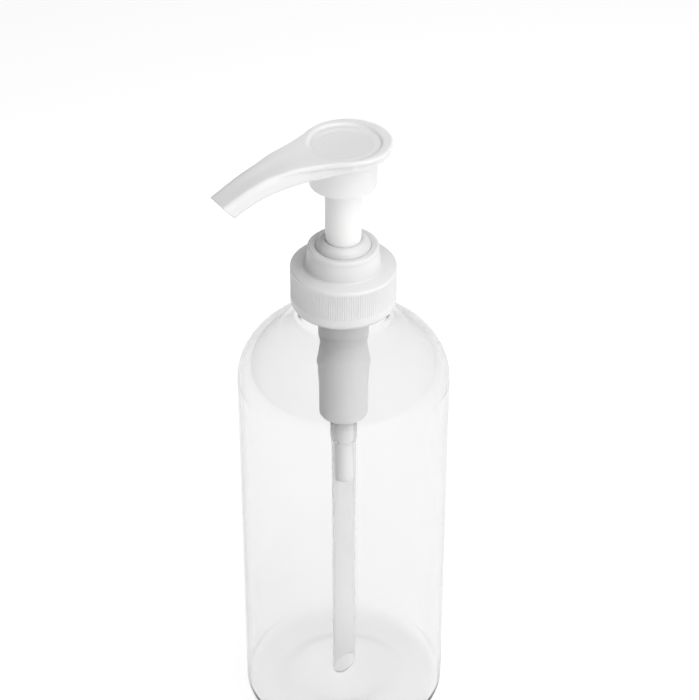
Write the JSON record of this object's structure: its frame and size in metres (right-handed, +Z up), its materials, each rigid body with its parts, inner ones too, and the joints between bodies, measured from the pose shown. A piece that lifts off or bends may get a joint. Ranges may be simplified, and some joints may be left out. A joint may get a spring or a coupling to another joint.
{
  "type": "soap pump dispenser",
  "caption": "Clear round bottle with a screw-on lotion pump: ribbed closure, sprung plunger with ball valves, dip tube and a turning saddle head with a curved spout.",
  "frame": {"origin": "centre of the bottle's flat base, on the pump's axis", "axes": "+Z up along the bottle's and the pump's axis, the spout points along -Y at rest"},
  "size_m": [0.0676, 0.0771, 0.2159],
  "materials": {
    "clear_pet": "clear and glossy",
    "natural_pp": "translucent, satin",
    "white_pp": "opaque white, satin",
    "housing_pp": "milky, unpigmented, satin",
    "tube_pe": "translucent",
    "seal_foam": "matt foam",
    "piston_pe": "waxy, satin",
    "spring_steel": "drawn stainless wire",
    "ball_steel": "polished stainless steel"
  },
  "bodies": {
    "bottle_body": {"bottle": "clear_pet"},
    "pump_body": {"housing": "housing_pp", "chaplet": "natural_pp", "gasket": "seal_foam", "ball_cage": "white_pp", "dip_tube": "tube_pe", "spring": "spring_steel"},
    "closure_body": {"closure": "natural_pp"},
    "inlet_ball_body": {"inlet_ball": "ball_steel"},
    "piston_body": {"piston": "piston_pe"},
    "head_body": {"actuator": "natural_pp", "stem": "white_pp", "piston_rod": "white_pp"},
    "outlet_ball_body": {"outlet_ball": "ball_steel"}
  },
  "joints": [
    {"name": "pump_lift", "type": "slide", "parent": "bottle_body", "child": "pump_body", "axis": [0, 0, 1], "range_m": [0, 0.0053]},
    {"name": "closure_turn", "type": "hinge", "parent": "pump_body", "child": "closure_body", "pos_m": [0, 0, 0.165], "axis": [0, 0, 1], "range_deg": [0, 450]},
    {"name": "head_press", "type": "slide", "parent": "pump_body", "child": "piston_body", "axis": [0, 0, -1], "range_m": [0, 0.0205], "stiffness_N_per_m": 700, "springref_m": -0.012, "deforming": ["spring"]},
    {"name": "head_turn", "type": "hinge", "parent": "piston_body", "child": "head_body", "pos_m": [0, 0, 0.185], "axis": [0, 0, 1], "continuous": true},
    {"name": "inlet_ball_lift", "type": "slide", "parent": "pump_body", "child": "inlet_ball_body", "axis": [0, 0, 1], "range_m": [0, 0.0014]},
    {"name": "outlet_ball_lift", "type": "slide", "parent": "head_body", "child": "outlet_ball_body", "axis": [0, 0, 1], "range_m": [0, 0.0013]}
  ],
  "couplings": [
    {"joint": "pump_lift", "follows": "closure_turn", "m_per_rad": 0.00067374}
  ]
}
